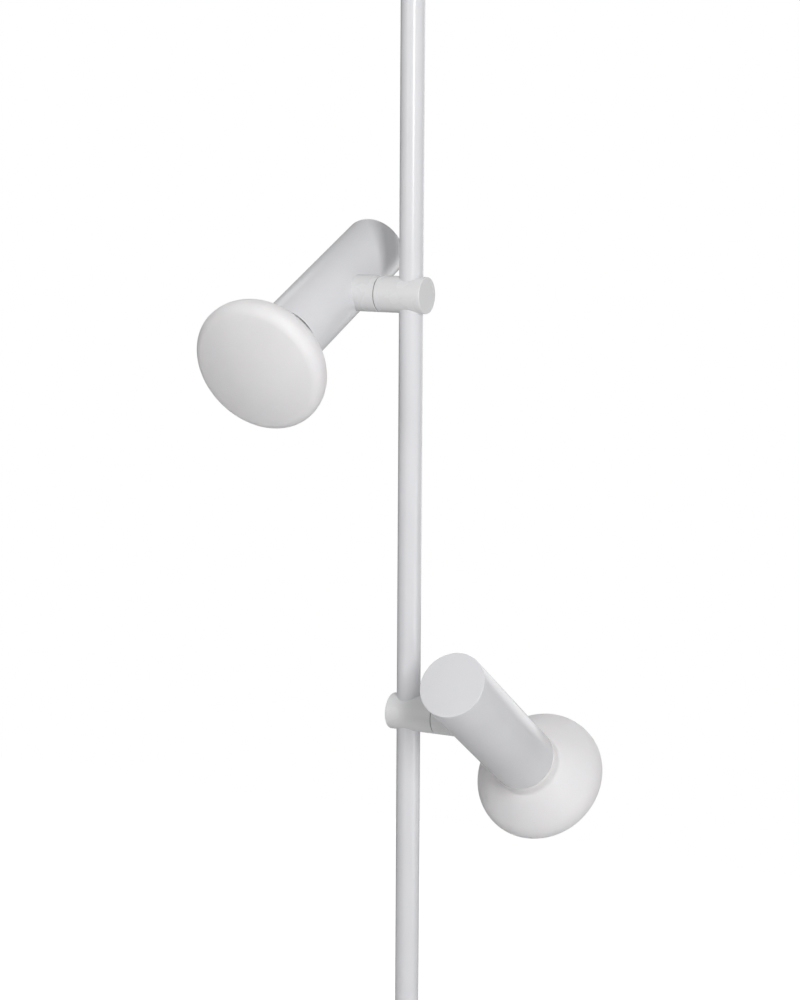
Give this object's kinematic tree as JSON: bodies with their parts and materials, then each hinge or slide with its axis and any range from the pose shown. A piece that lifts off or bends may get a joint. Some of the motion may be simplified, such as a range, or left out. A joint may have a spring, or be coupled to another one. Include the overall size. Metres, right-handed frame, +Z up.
{
  "type": "tension pole lamp",
  "caption": "Floor-to-ceiling spring-tensioned pole lamp with opposed tubular spot heads, swivelling and tilting on side arms, each holding a large opal mushroom lamp",
  "frame": {"origin": "middle of the floor pad's underside, on the pole axis", "axes": "+Z up the pole; the upper arm points along -X with its glass towards -Y and down, the lower arm along +X with its glass towards +Y and down"},
  "size_m": [0.328, 0.361, 2.4],
  "materials": {
    "white_lacquer": "gloss white stoving lacquer on steel",
    "lacquered_aluminium": "gloss white lacquer on turned aluminium",
    "black_rubber": "matt moulded rubber",
    "nylon": "natural moulded nylon",
    "zinc_steel": "bright zinc plate",
    "cable_sheath": "white PVC sheath",
    "holder_phenolic": "black phenolic moulding",
    "brass": "rolled brass",
    "nickelled_cap": "nickel plated lamp cap",
    "opal_glass": "opal-coated blown glass, smooth",
    "led_board": "white board with yellow emitters on an aluminium spreader"
  },
  "bodies": {
    "root": {"floor_pad": "black_rubber", "cable_gland": "black_rubber", "floor_foot": "white_lacquer", "pole_lower": "white_lacquer", "pole_middle": "white_lacquer", "pole_upper": "white_lacquer", "lock_collar": "white_lacquer", "terminal_block": "nylon", "joint_sleeves": "zinc_steel", "joint_screws": "zinc_steel", "feed_cables": "cable_sheath"},
    "telescope": {"telescopic_tube": "zinc_steel", "tension_spring": "zinc_steel", "plunger_bush": "nylon"},
    "plunger": {"plunger_rod": "zinc_steel", "ceiling_cup": "white_lacquer", "ceiling_pad": "black_rubber"},
    "lock_pad": {"lock_pad": "nylon"},
    "thumb_screw": {"thumb_screw": "white_lacquer"},
    "upper_clamp": {"upper_clamp_body": "lacquered_aluminium", "upper_clamp_liner": "nylon", "upper_friction_disc": "nylon", "upper_clamp_screw": "zinc_steel", "upper_stop_pin": "zinc_steel", "upper_pivot_nipple": "zinc_steel", "upper_disc_spring": "zinc_steel", "upper_pivot_nut": "zinc_steel"},
    "upper_head": {"upper_arm_stub": "lacquered_aluminium", "upper_saddle_washer": "lacquered_aluminium", "upper_head_tube": "white_lacquer", "upper_back_cap": "white_lacquer", "upper_holder_bracket": "zinc_steel", "upper_head_lead": "cable_sheath", "upper_holder_body": "holder_phenolic", "upper_holder_shell": "brass"},
    "upper_contact": {"upper_holder_contact": "brass"},
    "upper_bulb": {"upper_bulb_cap": "nickelled_cap", "upper_bulb_glass": "opal_glass", "upper_led_engine": "led_board"},
    "lower_clamp": {"lower_clamp_body": "lacquered_aluminium", "lower_clamp_liner": "nylon", "lower_friction_disc": "nylon", "lower_clamp_screw": "zinc_steel", "lower_stop_pin": "zinc_steel", "lower_pivot_nipple": "zinc_steel", "lower_disc_spring": "zinc_steel", "lower_pivot_nut": "zinc_steel"},
    "lower_head": {"lower_arm_stub": "lacquered_aluminium", "lower_saddle_washer": "lacquered_aluminium", "lower_head_tube": "white_lacquer", "lower_back_cap": "white_lacquer", "lower_holder_bracket": "zinc_steel", "lower_head_lead": "cable_sheath", "lower_holder_body": "holder_phenolic", "lower_holder_shell": "brass"},
    "lower_contact": {"lower_holder_contact": "brass"},
    "lower_bulb": {"lower_bulb_cap": "nickelled_cap", "lower_bulb_glass": "opal_glass", "lower_led_engine": "led_board"}
  },
  "joints": [
    {"name": "telescope_slide", "type": "slide", "parent": "root", "child": "telescope", "axis": [0, 0, 1], "range_m": [-0.06, 0.12]},
    {"name": "plunger_slide", "type": "slide", "parent": "telescope", "child": "plunger", "axis": [0, 0, 1], "range_m": [-0.045, 0], "stiffness_N_per_m": 3660, "springref_m": 0.02, "deforming": ["tension_spring"]},
    {"name": "lock_pad_slide", "type": "slide", "parent": "root", "child": "lock_pad", "axis": [0, 1, 0], "range_m": [0, 0.002]},
    {"name": "thumb_screw_turn", "type": "hinge", "parent": "lock_pad", "child": "thumb_screw", "pos_m": [0, 0.02, 2.158], "axis": [0, 1, 0], "range_deg": [0, 720]},
    {"name": "upper_swivel", "type": "hinge", "parent": "root", "child": "upper_clamp", "pos_m": [0, 0, 1.52], "axis": [0, 0, 1], "range_deg": [-75, 75]},
    {"name": "upper_tilt", "type": "hinge", "parent": "upper_clamp", "child": "upper_head", "pos_m": [-0.054, 0, 1.52], "axis": [-1, 0, 0], "range_deg": [-126, 174]},
    {"name": "upper_bulb_travel", "type": "slide", "parent": "upper_head", "child": "upper_contact", "axis": [0, -0.9135, -0.4067], "range_m": [0, 0.01845]},
    {"name": "upper_bulb_turn", "type": "hinge", "parent": "upper_contact", "child": "upper_bulb", "pos_m": [-0.093, 0, 1.52], "axis": [0, -0.9135, -0.4067], "range_deg": [0, 1800]},
    {"name": "lower_swivel", "type": "hinge", "parent": "root", "child": "lower_clamp", "pos_m": [0, 0, 1.08], "axis": [0, 0, 1], "range_deg": [-75, 75]},
    {"name": "lower_tilt", "type": "hinge", "parent": "lower_clamp", "child": "lower_head", "pos_m": [0.054, 0, 1.08], "axis": [1, 0, 0], "range_deg": [-116.4, 183.6]},
    {"name": "lower_bulb_travel", "type": "slide", "parent": "lower_head", "child": "lower_contact", "axis": [0, 0.8329, -0.5534], "range_m": [0, 0.01845]},
    {"name": "lower_bulb_turn", "type": "hinge", "parent": "lower_contact", "child": "lower_bulb", "pos_m": [0.093, 0, 1.08], "axis": [0, 0.8329, -0.5534], "range_deg": [0, 1800]}
  ],
  "couplings": [
    {"joint": "thumb_screw_turn", "follows": "lock_pad_slide", "rad_per_m": 6283.2},
    {"joint": "upper_bulb_travel", "follows": "upper_bulb_turn", "m_per_rad": 0.00057773},
    {"joint": "lower_bulb_travel", "follows": "lower_bulb_turn", "m_per_rad": 0.00057773}
  ]
}
